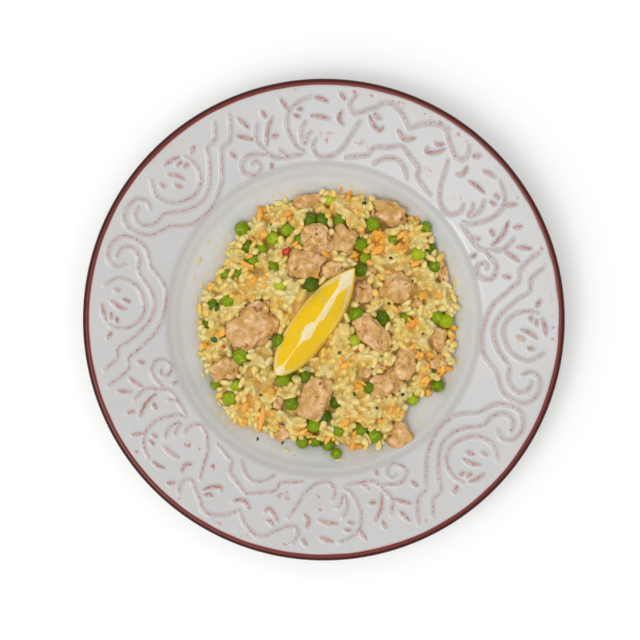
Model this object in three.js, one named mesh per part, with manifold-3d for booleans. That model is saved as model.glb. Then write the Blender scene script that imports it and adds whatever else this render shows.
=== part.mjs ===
// A plate of paella: a deep, wide-rimmed plate filled with yellow rice, green peas and grated
// carrot, with chunks of cooked chicken half sunk in the rice and a lemon wedge on top.
// Millimetres, +Z up. The origin is the middle of the foot ring's underside, so the plate
// stands on z = 0. Seen from above, +X is to the right and +Y is away from the diner.

import * as THREE from "three";
import { mergeVertices } from "three/addons/utils/BufferGeometryUtils.js";
import Module from "manifold-3d";

const wasm = await Module();
wasm.setup();

// ---- driving dimensions ------------------------------------------------------------------

const GAP = 0.3; // clearance between pieces that touch

const PLATE = {
  radius: 135,
  floorRadius: 48, // flat middle of the well
  floorZ: 6,
  bowlRadius: 84, // top of the well's gentle curve
  bowlRise: 18,
  bowlPower: 1.6,
  rimInner: 88, // the short steep step ends here
  rimInnerZ: 30.5,
  lipInner: 131, // the painted lip starts here
  lipInnerZ: 37.5,
  lipZ: 38,
  wall: 4.6, // thickness of the rim and of the well's side
  footOuter: 58,
  footInner: 51.5,
  underZ: 2.4, // underside of the floor, inside the foot ring
  segments: 64,
};

const HEAP = {
  radius: 73,
  crownZ: 27, // mean height of the rice in the middle
  edgeAbovePlate: 2.2,
  crownPower: 3.4, // how flat the top is before it falls away
  rings: 14,
  unevenRings: 0.4, // how far a point may stray, as a share of the ring spacing
  bumpHeight: 0.95, // relief of one grain of rice
  clumpHeight: 1.5, // slow rise and fall of the spooned heap
  clumpLength: 15,
};

// The heap's outline is uneven: each bulge or dent is [angle in degrees, amount, half width].
const BULGES = [
  [0, 3, 40],
  [50, 4, 22],
  [150, -5.5, 20],
  [225, 4.5, 14],
  [296, 6, 12],
  [316, -5, 9],
  [335, 3, 11],
];

const PEA = { radius: 4.1, around: 8, down: 4, sunk: 1 };

// Loose grains of rice on top of the heap.
const GRAIN = { length: 8.2, width: 3.1, thickness: 3, count: 96, lift: 1.1, tiltDeg: 24 };

// A wedge of lemon, a sixth of the fruit, lying on its peel with the core edge up.
const LEMON = {
  length: 74,
  radius: 23.4,
  wedgeDeg: 60,
  x: -4.6,
  y: -1,
  turnDeg: 53.75,
  ridgeZ: 45.5,
  sections: 18,
  peelSteps: 6,
  ridgeWidth: 1.6,
};

// How a chunk of chicken is shaped: squareness of its box, how uneven its torn faces are, how much
// of its height is sunk, and how far from the middle the plate's side starts to hold it up.
const CHUNK = { squareness: 3.2, unevenness: 0.13, tearsAcross: 1.9, sunkShare: 0.2, sideRadius: 55 };

// Chicken: middle x and y, length, width and height, turn about Z, and how far the middle sits
// above the rice.
const CHICKEN = [
  { x: -3.7, y: 45.2, size: [18, 16.5, 13], turn: 10, lift: 2.6 },
  { x: -11, y: 31.2, size: [20.5, 16, 12], turn: -12, lift: 2.2 },
  { x: 11.6, y: 44.8, size: [15, 17, 12], turn: -15, lift: 2.2 },
  { x: 36.8, y: 60.4, size: [20.5, 13, 11], turn: -18, lift: 3.4 },
  { x: -9.9, y: 66.5, size: [15, 9, 8], turn: 6, lift: 1.2 },
  { x: 41.3, y: 18.2, size: [17, 16, 11], turn: -14, lift: 1.8 },
  { x: -40.6, y: -4.4, size: [28, 21, 14.5], turn: 34, lift: 2.4 },
  { x: -55.6, y: -28.2, size: [17.5, 13, 10.5], turn: 22, lift: 1.8 },
  { x: -5.2, y: -44.4, size: [17, 26.5, 14], turn: -22, lift: 2.8 },
  { x: 27.6, y: -7.4, size: [26, 13.5, 12], turn: -46, lift: 2.2 },
  { x: 46.6, y: -24, size: [12.5, 19, 12.5], turn: -16, lift: 2.6 },
  { x: 34.9, y: -36.2, size: [20, 14, 11], turn: 18, lift: 1.8 },
  { x: 65.6, y: -11.4, size: [8.5, 14, 8], turn: 6, lift: 0.6 },
  { x: 66.4, y: 27.6, size: [6.5, 15, 7], turn: 22, lift: 0.4 },
  { x: 22.4, y: 15.4, size: [11, 13, 9], turn: 24, lift: 0.6 },
  { x: 43, y: -66, size: [13.5, 14.5, 9], turn: 38, lift: 1.6 },
  { x: 4.4, y: 27.8, size: [13, 9.5, 9], turn: 12, lift: 0.8 },
  { x: 64.6, y: -24.6, size: [11.5, 7.5, 7], turn: 20, lift: 0.6 },
];

// Peas that show clearly, as [x, y, lift above the rice].
const PEAS = [
  [-46.6, 51.8, 2.6], [-28.8, 46, 1.6], [-20.9, 50.8, 1.6], [-44.2, 41.8, 0.8],
  [-8, 56.2, 0.6], [-0.6, 56.4, 0.6], [9, 56.4, 0.4], [27.8, 53.8, 2.2],
  [21.2, 42.2, 1.2], [20.7, 27.8, 1.8], [-48.2, 26.8, 1], [-54.8, 10.4, 0.8],
  [-24.8, 19.6, 0.8], [-7.4, 19.8, 1.6], [-63.6, 8.4, 0.4], [60.4, 40.6, 0.6],
  [53.4, 37.2, 1], [62.6, 30.2, 1], [18.2, 3.1, 2], [33.3, 1.4, 0.8],
  [64.6, 1.4, 0.8], [69.4, -0.8, 2], [-47.1, -20.6, 2.6], [-25.4, -12.2, 1.2],
  [-49.4, -37.6, 0.8], [-53.4, -44.7, 1.6], [-23, -33.6, 1.4], [-10.4, -32.4, 0.6],
  [-18.2, -47.6, 1.2], [-5.6, -60, 1.2], [0.8, -55.4, 0.4], [-12.2, -70, 0.4],
  [-5, -69, 0.8], [2.4, -71.4, 0.4], [17.8, -11.8, 0.6], [25.2, -38.4, 0.4],
  [64.8, -37.6, 2], [8.4, -62.8, 0.8], [21, -62.6, 0.8], [28.8, -66, 1.4],
];

// ---- small helpers -----------------------------------------------------------------------

const rad = THREE.MathUtils.degToRad;
const smooth = (a, b, x) => THREE.MathUtils.smoothstep(x, a, b);

// The same draws every run.
function seededRandom(seed) {
  let state = seed;
  return () => {
    state = (state * 1664525 + 1013904223) % 4294967296;
    return state / 4294967296;
  };
}

// A value from 0 to 1 for a lattice point, blended smoothly between points.
function latticeValue(i, j, k) {
  const v = Math.sin(i * 127.1 + j * 311.7 + k * 74.7) * 43758.5453;
  return v - Math.floor(v);
}

function noise(x, y, z) {
  const cell = [x, y, z].map(Math.floor);
  const part = [x, y, z].map((v, n) => smooth(0, 1, v - cell[n]));
  let sum = 0;
  for (let corner = 0; corner < 8; corner++) {
    const step = [corner & 1, (corner >> 1) & 1, (corner >> 2) & 1];
    const weight = step.reduce((w, s, n) => w * (s ? part[n] : 1 - part[n]), 1);
    sum += weight * latticeValue(cell[0] + step[0], cell[1] + step[1], cell[2] + step[2]);
  }
  return 2 * sum - 1;
}

function toSolid(geometry) {
  const bare = new THREE.BufferGeometry();
  bare.setAttribute("position", geometry.getAttribute("position"));
  if (geometry.index) {
    bare.setIndex(geometry.index);
  }
  const merged = mergeVertices(bare, 1e-4);
  return new wasm.Manifold(
    new wasm.Mesh({
      numProp: 3,
      vertProperties: new Float32Array(merged.attributes.position.array),
      triVerts: new Uint32Array(merged.index.array),
    }),
  );
}

function toGeometry(solid) {
  const mesh = solid.getMesh();
  const geometry = new THREE.BufferGeometry();
  geometry.setAttribute("position", new THREE.BufferAttribute(mesh.vertProperties, 3));
  geometry.setIndex(new THREE.BufferAttribute(mesh.triVerts, 1));
  geometry.computeVertexNormals();
  return geometry;
}

// A closed shape from a list of faces, each the indices of three points.
function shapeOf(points, faces) {
  const geometry = new THREE.BufferGeometry();
  geometry.setAttribute("position", new THREE.Float32BufferAttribute(points.flat(), 3));
  geometry.setIndex(faces.flat());
  return geometry;
}

const largestBody = (solid) =>
  solid.decompose().sort((a, b) => b.volume() - a.volume())[0];

// ---- the plate ---------------------------------------------------------------------------

// Height of the plate's upper face at a distance r from the middle.
function plateTop(r) {
  const across = (r - PLATE.floorRadius) / (PLATE.bowlRadius - PLATE.floorRadius);
  const bowl = THREE.MathUtils.clamp(across, 0, 1);
  const inBowl = PLATE.floorZ + PLATE.bowlRise * bowl ** PLATE.bowlPower;
  const slope = (PLATE.lipInnerZ - PLATE.rimInnerZ) / (PLATE.lipInner - PLATE.rimInner);
  const onRim = PLATE.rimInnerZ + slope * Math.max(0, r - PLATE.rimInner);
  return THREE.MathUtils.lerp(inBowl, onRim, smooth(PLATE.bowlRadius, PLATE.rimInner, r));
}

// The plate, or with a lift its upper face raised, which is what the food is cut by.
function plateShape(lift = 0) {
  const inner = [0, 48, 56, 65, 74, 84, 85.5, 88, 131];
  const profile = inner.map((r) => new THREE.Vector2(r, plateTop(r) + lift));
  const lipMiddle = PLATE.lipZ - PLATE.wall / 2;
  for (const turn of [65, 0, -65]) {
    const across = (PLATE.wall / 2) * Math.cos(rad(turn));
    const up = (PLATE.wall / 2 + lift) * Math.sin(rad(turn));
    profile.push(new THREE.Vector2(PLATE.radius - PLATE.wall / 2 + across, lipMiddle + up));
  }
  for (const r of [129, 90]) {
    profile.push(new THREE.Vector2(r, plateTop(r) - PLATE.wall));
  }
  for (const r of [82, 69]) {
    profile.push(new THREE.Vector2(r + 3, plateTop(r) - PLATE.wall));
  }
  profile.push(new THREE.Vector2(PLATE.footOuter + 2, PLATE.underZ + 0.6));
  profile.push(new THREE.Vector2(PLATE.footOuter, 0));
  profile.push(new THREE.Vector2(PLATE.footInner, 0));
  profile.push(new THREE.Vector2(PLATE.footInner - 1.6, PLATE.underZ));
  profile.push(new THREE.Vector2(0, PLATE.underZ));
  return new THREE.LatheGeometry(profile.reverse(), PLATE.segments);
}

// LatheGeometry turns about Y, so its solid is stood up to turn about Z.
const plateSolid = (lift) => toSolid(plateShape(lift).rotateX(Math.PI / 2));

// ---- the heap of rice --------------------------------------------------------------------

function heapEdge(angle) {
  let edge = HEAP.radius;
  for (const [middle, amount, width] of BULGES) {
    const turn = THREE.MathUtils.radToDeg(angle) - middle;
    const away = THREE.MathUtils.euclideanModulo(turn + 180, 360) - 180;
    edge += amount * Math.exp(-((away / width) ** 2));
  }
  return edge + 1.1 * noise(9 * Math.cos(angle), 9 * Math.sin(angle), 2);
}

// Mean height of the rice at a point, before the relief of its grains.
function heapTop(x, y) {
  const edge = heapEdge(Math.atan2(y, x));
  const out = Math.min(1, Math.hypot(x, y) / edge);
  const low = plateTop(edge) + HEAP.edgeAbovePlate;
  const clump = HEAP.clumpHeight * noise(x / HEAP.clumpLength, y / HEAP.clumpLength, 5);
  return low + (HEAP.crownZ - low) * (1 - out ** HEAP.crownPower) + clump * (1 - 0.6 * out ** 4);
}

// The bare heap: ring k of the top has 6k points, so its triangles are all about grain size.
function heapShape() {
  const random = seededRandom(11);
  const points = [[0, 0, heapTop(0, 0)]];
  const faces = [];
  const ringStart = (k) => (k ? 1 + 3 * k * (k - 1) : 0);
  const onRing = (k, n) => ringStart(k) + (k ? THREE.MathUtils.euclideanModulo(n, 6 * k) : 0);
  for (let k = 1; k <= HEAP.rings; k++) {
    for (let n = 0; n < 6 * k; n++) {
      const angle = (2 * Math.PI * n) / (6 * k);
      const shift = k < HEAP.rings ? HEAP.unevenRings * (random() - 0.5) : 0;
      const r = (heapEdge(angle) * (k + shift)) / HEAP.rings;
      const x = r * Math.cos(angle);
      const y = r * Math.sin(angle);
      const bump = HEAP.bumpHeight * (2 * random() - 1);
      points.push([x, y, heapTop(x, y) + bump]);
    }
  }
  for (let k = 1; k <= HEAP.rings; k++) {
    for (let side = 0; side < 6; side++) {
      for (let n = 0; n < k; n++) {
        const outer = side * k + n;
        const inner = side * (k - 1) + n;
        faces.push([onRing(k, outer), onRing(k, outer + 1), onRing(k - 1, inner)]);
        if (n < k - 1) {
          faces.push([onRing(k, outer + 1), onRing(k - 1, inner + 1), onRing(k - 1, inner)]);
        }
      }
    }
  }
  // The side goes straight down to the plate, and the underside follows the plate's well.
  const around = 6 * HEAP.rings;
  let above = ringStart(HEAP.rings);
  for (const share of [1, 0.84, PLATE.floorRadius / HEAP.radius]) {
    const start = points.length;
    for (let n = 0; n < around; n++) {
      const angle = (2 * Math.PI * n) / around;
      const r = heapEdge(angle) * share;
      points.push([r * Math.cos(angle), r * Math.sin(angle), plateTop(r) + 2 * GAP]);
    }
    for (let n = 0; n < around; n++) {
      const next = (n + 1) % around;
      faces.push([above + n, start + n, start + next]);
      faces.push([above + n, start + next, above + next]);
    }
    above = start;
  }
  const middle = points.length;
  points.push([0, 0, PLATE.floorZ + 2 * GAP]);
  for (let n = 0; n < around; n++) {
    faces.push([above + n, middle, above + ((n + 1) % around)]);
  }
  return shapeOf(points, faces);
}

function peaSolid([x, y, lift]) {
  const onPlate = plateTop(Math.hypot(x, y) + PEA.radius / 2) + PEA.radius + GAP;
  const z = Math.max(heapTop(x, y) + lift - PEA.sunk, onPlate);
  const pea = new THREE.SphereGeometry(PEA.radius, PEA.around, PEA.down);
  pea.rotateX(x).rotateY(y).translate(x, y, z);
  return toSolid(pea);
}

// Loose grains lie on the heap at even spacing, along a sunflower spiral, each turned its own way.
function grainSolids() {
  const random = seededRandom(23);
  const grains = [];
  for (let n = 0; n < GRAIN.count; n++) {
    const angle = n * Math.PI * (3 - Math.sqrt(5));
    const r = 0.96 * heapEdge(angle) * Math.sqrt((n + 0.5) / GRAIN.count);
    const x = r * Math.cos(angle) + 3 * (random() - 0.5);
    const y = r * Math.sin(angle) + 3 * (random() - 0.5);
    const grain = new THREE.OctahedronGeometry(0.5, 0);
    grain.scale(GRAIN.length, GRAIN.width, GRAIN.thickness);
    grain.rotateY(rad(GRAIN.tiltDeg) * (2 * random() - 1)).rotateZ(2 * Math.PI * random());
    grain.translate(x, y, heapTop(x, y) + GRAIN.lift);
    grains.push(toSolid(grain));
  }
  return grains;
}

// ---- the chicken -------------------------------------------------------------------------

// A torn cube of cooked meat: a rounded box whose faces rise and fall. Grow adds a skin.
function chickenSolid({ x, y, size, turn, lift }, number, grow = 0) {
  const chunk = new THREE.IcosahedronGeometry(1, 1);
  const place = chunk.getAttribute("position");
  const p = new THREE.Vector3();
  for (let n = 0; n < place.count; n++) {
    p.fromBufferAttribute(place, n).normalize();
    const powers = p.toArray().map((v) => Math.abs(v) ** CHUNK.squareness);
    const box = powers.reduce((a, b) => a + b) ** (-1 / CHUNK.squareness);
    const at = p.clone().multiplyScalar(CHUNK.tearsAcross);
    const torn = 1 + CHUNK.unevenness * noise(at.x + 7 * number, at.y, at.z);
    p.multiplyScalar((box * torn) / 2);
    p.set(p.x * size[0], p.y * size[1], p.z * size[2]);
    p.setLength(p.length() + grow);
    place.setXYZ(n, p.x, p.y, p.z);
  }
  const r = Math.hypot(x, y);
  const inRice = heapTop(x, y) + lift - size[2] * CHUNK.sunkShare;
  const onPlate = r > CHUNK.sideRadius ? plateTop(r) + size[2] * (0.5 - CHUNK.sunkShare / 2) : 0;
  const z = Math.max(inRice, onPlate);
  chunk.rotateZ(rad(turn)).translate(x, y, z);
  return toSolid(chunk);
}

// ---- the lemon ---------------------------------------------------------------------------

// Share of the full radius along the fruit: blunt at the stem end, drawn out at the other.
const lemonShare = (s) =>
  s < 0 ? (1 - (-s) ** 2.6) ** 0.62 : (1 - s ** 2.3) ** 0.95;

// The wedge is built section by section along X: the ridge of the core, then round the peel.
function lemonSolid(grow = 0) {
  const points = [];
  const faces = [];
  const perSection = LEMON.peelSteps + 3;
  for (let i = 0; i <= LEMON.sections; i++) {
    const s = -Math.cos((Math.PI * i) / LEMON.sections) * 0.985;
    const share = Math.max(lemonShare(s), 0.02);
    const r = LEMON.radius * share + grow;
    const ridge = Math.min(LEMON.ridgeWidth, r * 0.4) / 2 + grow;
    const along = s * (LEMON.length / 2 + grow);
    points.push([along, ridge, grow], [along, -ridge, grow]);
    for (let k = 0; k <= LEMON.peelSteps; k++) {
      const turn = rad(-90 - LEMON.wedgeDeg / 2 + (LEMON.wedgeDeg * k) / LEMON.peelSteps);
      points.push([along, r * Math.cos(turn), r * Math.sin(turn)]);
    }
  }
  for (let i = 1; i <= LEMON.sections; i++) {
    const here = i * perSection;
    const back = here - perSection;
    for (let k = 0; k < perSection; k++) {
      const next = (k + 1) % perSection;
      faces.push([back + k, here + next, here + k], [back + k, back + next, here + next]);
    }
  }
  for (let k = 1; k < perSection - 1; k++) {
    const end = LEMON.sections * perSection;
    faces.push([0, k + 1, k], [end, end + k, end + k + 1]);
  }
  const wedge = shapeOf(points, faces);
  wedge.rotateZ(rad(LEMON.turnDeg)).translate(LEMON.x, LEMON.y, LEMON.ridgeZ);
  return toSolid(wedge);
}

// ---- putting it together -----------------------------------------------------------------

const material = (color, roughness) => new THREE.MeshStandardMaterial({ color, roughness, metalness: 0 });
const MATERIALS = {
  glaze: material("#d2d0cd", 0.22),
  rice: material("#dcc27a", 0.55),
  chicken: material("#d3a273", 0.6),
  lemon: material("#e3b928", 0.4),
};

const paella = new THREE.Group();

function addPiece(name, solid, finish) {
  const mesh = new THREE.Mesh(toGeometry(solid), finish);
  mesh.name = name;
  paella.add(mesh);
}

addPiece("plate", plateSolid(), MATERIALS.glaze);

// Each piece is cut back by the ones placed before it, so that none overlap.
const lemon = lemonSolid();
addPiece("lemon_wedge", lemon, MATERIALS.lemon);

let cutters = plateSolid(GAP).add(lemonSolid(GAP));
CHICKEN.forEach((chunk, index) => {
  const solid = largestBody(chickenSolid(chunk, index).subtract(cutters));
  cutters = cutters.add(chickenSolid(chunk, index, GAP));
  addPiece(`chicken_${String(index + 1).padStart(2, "0")}`, solid, MATERIALS.chicken);
});

let heap = toSolid(heapShape());
for (const piece of [...PEAS.map(peaSolid), ...grainSolids()]) {
  heap = heap.add(piece);
}
addPiece("rice_heap", largestBody(heap.subtract(cutters)), MATERIALS.rice);

export default paella;
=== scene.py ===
"""A plate of paella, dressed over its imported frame: a glazed plate with raised scroll ornament on
its wide rim, a heap of yellow rice with peas, carrot and herbs, chunks of chicken and a lemon wedge.

Everything is modelled in millimetres, with +Z up and the origin under the middle of the plate, and
is scaled to metres as it is handed over. +Y is the top of the photograph.
"""

import math
from functools import partial
from types import SimpleNamespace

import bmesh
import bpy
import numpy as np
from mathutils import Matrix, Vector, noise
from mathutils.bvhtree import BVHTree
from mathutils.kdtree import KDTree


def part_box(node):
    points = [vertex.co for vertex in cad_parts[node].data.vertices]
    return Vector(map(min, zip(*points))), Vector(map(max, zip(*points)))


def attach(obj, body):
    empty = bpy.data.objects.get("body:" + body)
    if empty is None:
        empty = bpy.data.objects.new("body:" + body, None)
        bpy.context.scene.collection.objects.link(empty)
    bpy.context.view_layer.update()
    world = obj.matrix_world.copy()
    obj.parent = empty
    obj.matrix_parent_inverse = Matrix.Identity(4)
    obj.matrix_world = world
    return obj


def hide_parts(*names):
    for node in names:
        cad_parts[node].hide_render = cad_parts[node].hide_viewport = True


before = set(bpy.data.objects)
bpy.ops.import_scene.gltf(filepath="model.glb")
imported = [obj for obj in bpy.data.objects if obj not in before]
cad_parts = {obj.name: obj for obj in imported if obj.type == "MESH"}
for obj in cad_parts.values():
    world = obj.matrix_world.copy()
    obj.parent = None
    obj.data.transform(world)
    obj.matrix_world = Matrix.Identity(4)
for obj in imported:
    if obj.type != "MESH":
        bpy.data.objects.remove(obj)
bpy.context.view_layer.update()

MM = 0.001

# ---- sizes in millimetres, as the frame has them ------------------------------------------------

PLATE_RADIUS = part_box("plate")[1].x / MM
FLOOR_RADIUS, FLOOR_Z = 48, 6
BOWL_RADIUS, BOWL_RISE, BOWL_POWER = 84, 18, 1.6
RIM_INNER, RIM_INNER_Z = 88, 30.5
LIP_INNER, LIP_INNER_Z = 131, 37.5
LIP_Z, WALL = 38, 4.6
FOOT_OUTER, FOOT_INNER, UNDER_Z = 58, 51.5, 2.4

HEAP_RADIUS, HEAP_CROWN_Z, HEAP_EDGE, HEAP_POWER = 73, 27, 2.2, 3.4
CLUMP_HEIGHT, CLUMP_LENGTH = 1.5, 15
# The heap's outline bulges and dents: angle in degrees, amount, half width in degrees.
BULGES = [(0, 3, 40), (50, 4, 22), (150, -5.5, 20), (225, 4.5, 14), (296, 6, 12), (316, -5, 9),
          (335, 3, 11)]

GRAIN_LENGTH, GRAIN_WIDTH, BLUNTNESS = 6.9, 3.7, 2.5
LUMP_HEIGHT = 0.9  # how far the rice stands up and sinks in the lumps that a spoon leaves
RICE_DEPTH = 4.4  # how deep the loose grains lie over the heap's core
STARCH_GAP = 0.1  # the starchy mass between the grains stays this far below their tops
ALLOWED_RISE = 0.9  # how far the grains may stand above the height they shall reach
PLACES_TRIED, MOST_MISSES = 6, 200
BROKEN_SHARE = 0.18  # of the grains

# ---- small helpers ------------------------------------------------------------------------------


def smoothstep(low, high, value):
    share = np.clip((value - low) / (high - low), 0, 1)
    return share * share * (3 - 2 * share)


def lattice(i, j, k):
    """A fixed number from 0 to 1 for each corner of the noise's cells."""
    value = np.sin(i * 127.1 + j * 311.7 + k * 74.7) * 43758.5453
    return value - np.floor(value)


def value_noise(x, y, z):
    """From -1 to 1, the same rise and fall as the frame's heap and chunks have."""
    cell = [np.floor(v) for v in (x, y, z)]
    part = [smoothstep(0, 1, v - c) for v, c in zip((x, y, z), cell)]
    total = 0
    for corner in range(8):
        step = (corner & 1, corner >> 1 & 1, corner >> 2 & 1)
        weight = 1
        for near, far in zip(part, step):
            weight = weight * (near if far else 1 - near)
        total = total + weight * lattice(*(c + s for c, s in zip(cell, step)))
    return 2 * total - 1


def plate_top(r):
    """Height of the plate's upper face at a distance r from the middle."""
    bowl = np.clip((r - FLOOR_RADIUS) / (BOWL_RADIUS - FLOOR_RADIUS), 0, 1)
    in_bowl = FLOOR_Z + BOWL_RISE * bowl**BOWL_POWER
    slope = (LIP_INNER_Z - RIM_INNER_Z) / (LIP_INNER - RIM_INNER)
    on_rim = RIM_INNER_Z + slope * np.maximum(0, r - RIM_INNER)
    step = smoothstep(BOWL_RADIUS - 3, RIM_INNER + 1.5, r)
    return in_bowl + (on_rim - in_bowl) * step


def heap_edge(angle):
    """Distance from the middle to the heap's outline, in a direction."""
    edge = HEAP_RADIUS
    for middle, amount, width in BULGES:
        away = (np.degrees(angle) - middle + 180) % 360 - 180
        edge = edge + amount * np.exp(-((away / width) ** 2))
    return edge + 1.1 * value_noise(9 * np.cos(angle), 9 * np.sin(angle), 2.0)


def heap_top(x, y):
    """Mean height of the rice at a point."""
    edge = heap_edge(np.arctan2(y, x))
    out = np.minimum(1, np.hypot(x, y) / edge)
    low = plate_top(edge) + HEAP_EDGE
    clump = CLUMP_HEIGHT * value_noise(x / CLUMP_LENGTH, y / CLUMP_LENGTH, 5.0)
    return low + (HEAP_CROWN_Z - low) * (1 - out**HEAP_POWER) + clump * (1 - 0.6 * out**4)


def spline(points, step=0.5):
    """A smooth line through the points, with a point every step."""
    ends = [2 * points[0] - points[1], *points, 2 * points[-1] - points[-2]]
    line = []
    for a, b, c, d in zip(ends, ends[1:], ends[2:], ends[3:]):
        count = max(1, round(float(np.linalg.norm(c - b)) / step))
        for t in np.arange(count) / count:
            line.append(0.5 * (2 * b + (c - a) * t + (2 * a - 5 * b + 4 * c - d) * t**2
                               + (3 * b - a - 3 * c + d) * t**3))
    return np.array([*line, points[-1]])


def positions(bm):
    return np.array([v.co for v in bm.verts])


def linear(colour):
    """An sRGB hex colour as linear red, green, blue, alpha."""
    parts = [int(colour[n:n + 2], 16) / 255 for n in (1, 3, 5)]
    return [c / 12.92 if c <= 0.04045 else ((c + 0.055) / 1.055) ** 2.4 for c in parts] + [1]


# ---- materials ----------------------------------------------------------------------------------

SOFT = {"interpolation_type": "SMOOTHSTEP"}
PRODUCT = {"operation": "MULTIPLY", "use_clamp": True}


def add_node(tree, kind, inputs=None, settings=None, output=0):
    """Adds a node with its settings and its inputs, which are values, hex colours or sockets to
    link, and gives one of its outputs. A ramp's stops are places from 0 to 1 with hex colours."""
    made = tree.nodes.new("ShaderNode" + kind)
    for name, value in (settings or {}).items():
        if name == "stops":
            elements = made.color_ramp.elements
            while len(elements) < len(value):
                elements.new(0.5)
            for element, (place, colour) in zip(elements, value):
                element.position, element.color = place, linear(colour)
        else:
            setattr(made, name, value)
    for name, value in (inputs or {}).items():
        if isinstance(value, bpy.types.NodeSocket):
            tree.links.new(value, made.inputs[name])
        else:
            made.inputs[name].default_value = linear(value) if isinstance(value, str) else value
    return made.outputs[output]


def new_material(name, masks=(), noises=None, **values):
    """A material, what adds nodes to it, and what it reads: vertex attributes, and noises given as
    the width of their bumps in millimetres, then detail and roughness where they aren't Blender's
    own. What is the same all over is set on the shader's own sockets."""
    material = bpy.data.materials.new(name)
    material.use_nodes = True
    add = partial(add_node, material.node_tree)
    for socket, value in {"Subsurface_Scale": 1, **values}.items():
        material.node_tree.nodes["Principled BSDF"].inputs[socket.replace("_", " ")].default_value = value
    read = SimpleNamespace(point=add("TexCoord", output="Object") if noises else None)
    for key in masks:
        setattr(read, key, add("Attribute", None, {"attribute_name": key}, "Fac"))
    for key, (width, *rest) in (noises or {}).items():
        grain = dict(zip(("Detail", "Roughness"), rest))
        setattr(read, key, add("TexNoise", {"Vector": read.point, "Scale": 1 / (width * MM), **grain}))
    return material, add, read


def coats(add, base, *layers):
    """Lays colours over a base in turn. Each comes in with its share, softly between the two ends
    of its span, or as the share stands where there is no span."""
    for share, span, colour in layers:
        if span:
            share = add("MapRange", {"Value": share, "From Min": span[0], "From Max": span[1]}, SOFT)
        base = add("Mix", {0: share, 6: base, 7: colour}, {"data_type": "RGBA"}, 2)
    return base


def connect(material, **sockets):
    """Links outputs to the shader's sockets of those names."""
    tree = material.node_tree
    for name, output in sockets.items():
        tree.links.new(output, tree.nodes["Principled BSDF"].inputs[name.replace("_", " ")])
    return material


def glazed_stoneware():
    """Off-white glaze over red clay, dipped and wiped: glossy, with the clay showing pink through the thin
    glaze along the crests of the ornament, a red-brown glazed lip that painted shade darkens to near black
    at its outer edge, dry clay on the foot, and painted light in a lighter, cooler well."""
    material, add, read = new_material(
        "glazed_stoneware", ["pool", "oil", "clay", "lip", "lip_out", "foot"],
        {"mottle": (22,), "grime": (1.4, 4), "blots": (3.2, 3), "chips": (1.3, 3, 0.7), "fired": (2.6, 3),
         "waves": (4,)}, Roughness=0.2, IOR=1.5)
    blots = add("MapRange", {"Value": read.blots, "From Min": 0.4, "From Max": 0.62}, SOFT)
    stain = add("Math", {0: read.oil, 1: blots}, PRODUCT)
    ragged = add("MapRange", {"Value": read.chips, "From Min": 0.3, "From Max": 0.7, "To Min": -0.55,
                              "To Max": 0.25})
    worn = add("Math", {0: read.clay, 1: ragged})
    clay = add("ValToRGB", {"Fac": read.fired}, {"stops": [(0.3, "#c09a92"), (0.55, "#a97a70"),
                                                           (0.75, "#8d5349")]})
    # Painted shade: the lip's brown goes to near black towards the plate's edge, where the lip turns down.
    brown = add("ValToRGB", {"Fac": read.lip_out}, {"stops": [(0, "#8c3a30"), (0.25, "#6c221a"),
                                                              (0.6, "#4e150f"), (1, "#1c0605")]})
    # Painted light: the whole well is coated a lighter, cooler white than the rim.
    glaze = coats(add, "#b6b5b4", (read.mottle, None, "#bdbcbb"), (read.pool, None, "#cfd1d3"),
                  (read.grime, (0.66, 0.74), "#b4aba2"), (stain, None, "#c9b65e"),
                  (worn, (-0.5, 0.55), clay), (read.lip, None, brown), (read.foot, None, "#9b5f49"))
    rough = add("MapRange", {"Value": read.foot, "To Min": 0.2, "To Max": 0.8})
    shine = add("MapRange", {"Value": read.lip, "To Min": 0.5, "To Max": 0.25})
    relief = add("Bump", {"Height": read.waves, "Strength": 0.12, "Distance": 0.3 * MM})
    return connect(material, Base_Color=glaze, Roughness=rough, Specular_IOR_Level=shine, Normal=relief)


def cooked_rice():
    """Short, starchy grains boiled in saffron stock: soft, slightly see-through, with a wet skin."""
    material, add, read = new_material(
        "cooked_rice", ["tone"], {"patches": (7, 3), "skin": (0.9,)}, Roughness=0.5, IOR=1.4,
        Specular_IOR_Level=0.22, Subsurface_Weight=0.9, Subsurface_Radius=(0.003, 0.0025, 0.0015))
    saffron = add("ValToRGB", {"Fac": read.tone}, {"stops": [
        (0, "#eba145"), (0.25, "#e8bf68"), (0.5, "#e8ce82"), (0.8, "#e7d394"), (1, "#ebdaae")]})
    colour = coats(add, saffron, (read.patches, (0.5, 0.72), "#e0bf64"))
    relief = add("Bump", {"Height": read.skin, "Strength": 0.25, "Distance": 0.2 * MM})
    return connect(material, Base_Color=colour, Normal=relief)


def cooked_pea():
    """Boiled garden peas: a thin waxy skin over a green painted yellow in patches where light comes
    through, dull and dark on the older ones, and darker as painted shade on those that lie in shade."""
    material, add, read = new_material(
        "cooked_pea", ["tone"], {"flesh": (2.4, 3), "skin": (0.8,)}, Roughness=0.3, IOR=1.42,
        Specular_IOR_Level=0.25, Subsurface_Weight=0.2, Subsurface_Radius=(0.001, 0.0014, 0.0002))
    green = add("ValToRGB", {"Fac": read.tone}, {"stops": [
        (0, "#2f4700"), (0.3, "#536d00"), (0.6, "#789200"), (0.85, "#95a80a"), (1, "#afba2c")]})
    flesh = add("MapRange", {"Value": read.flesh, "From Min": 0.48, "From Max": 0.72}, SOFT)
    patches = add("Math", {0: flesh, 1: read.tone}, PRODUCT)
    relief = add("Bump", {"Height": read.skin, "Strength": 0.15, "Distance": 0.15 * MM})
    return connect(material, Base_Color=coats(add, green, (patches, None, "#b4be34")), Normal=relief)


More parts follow.
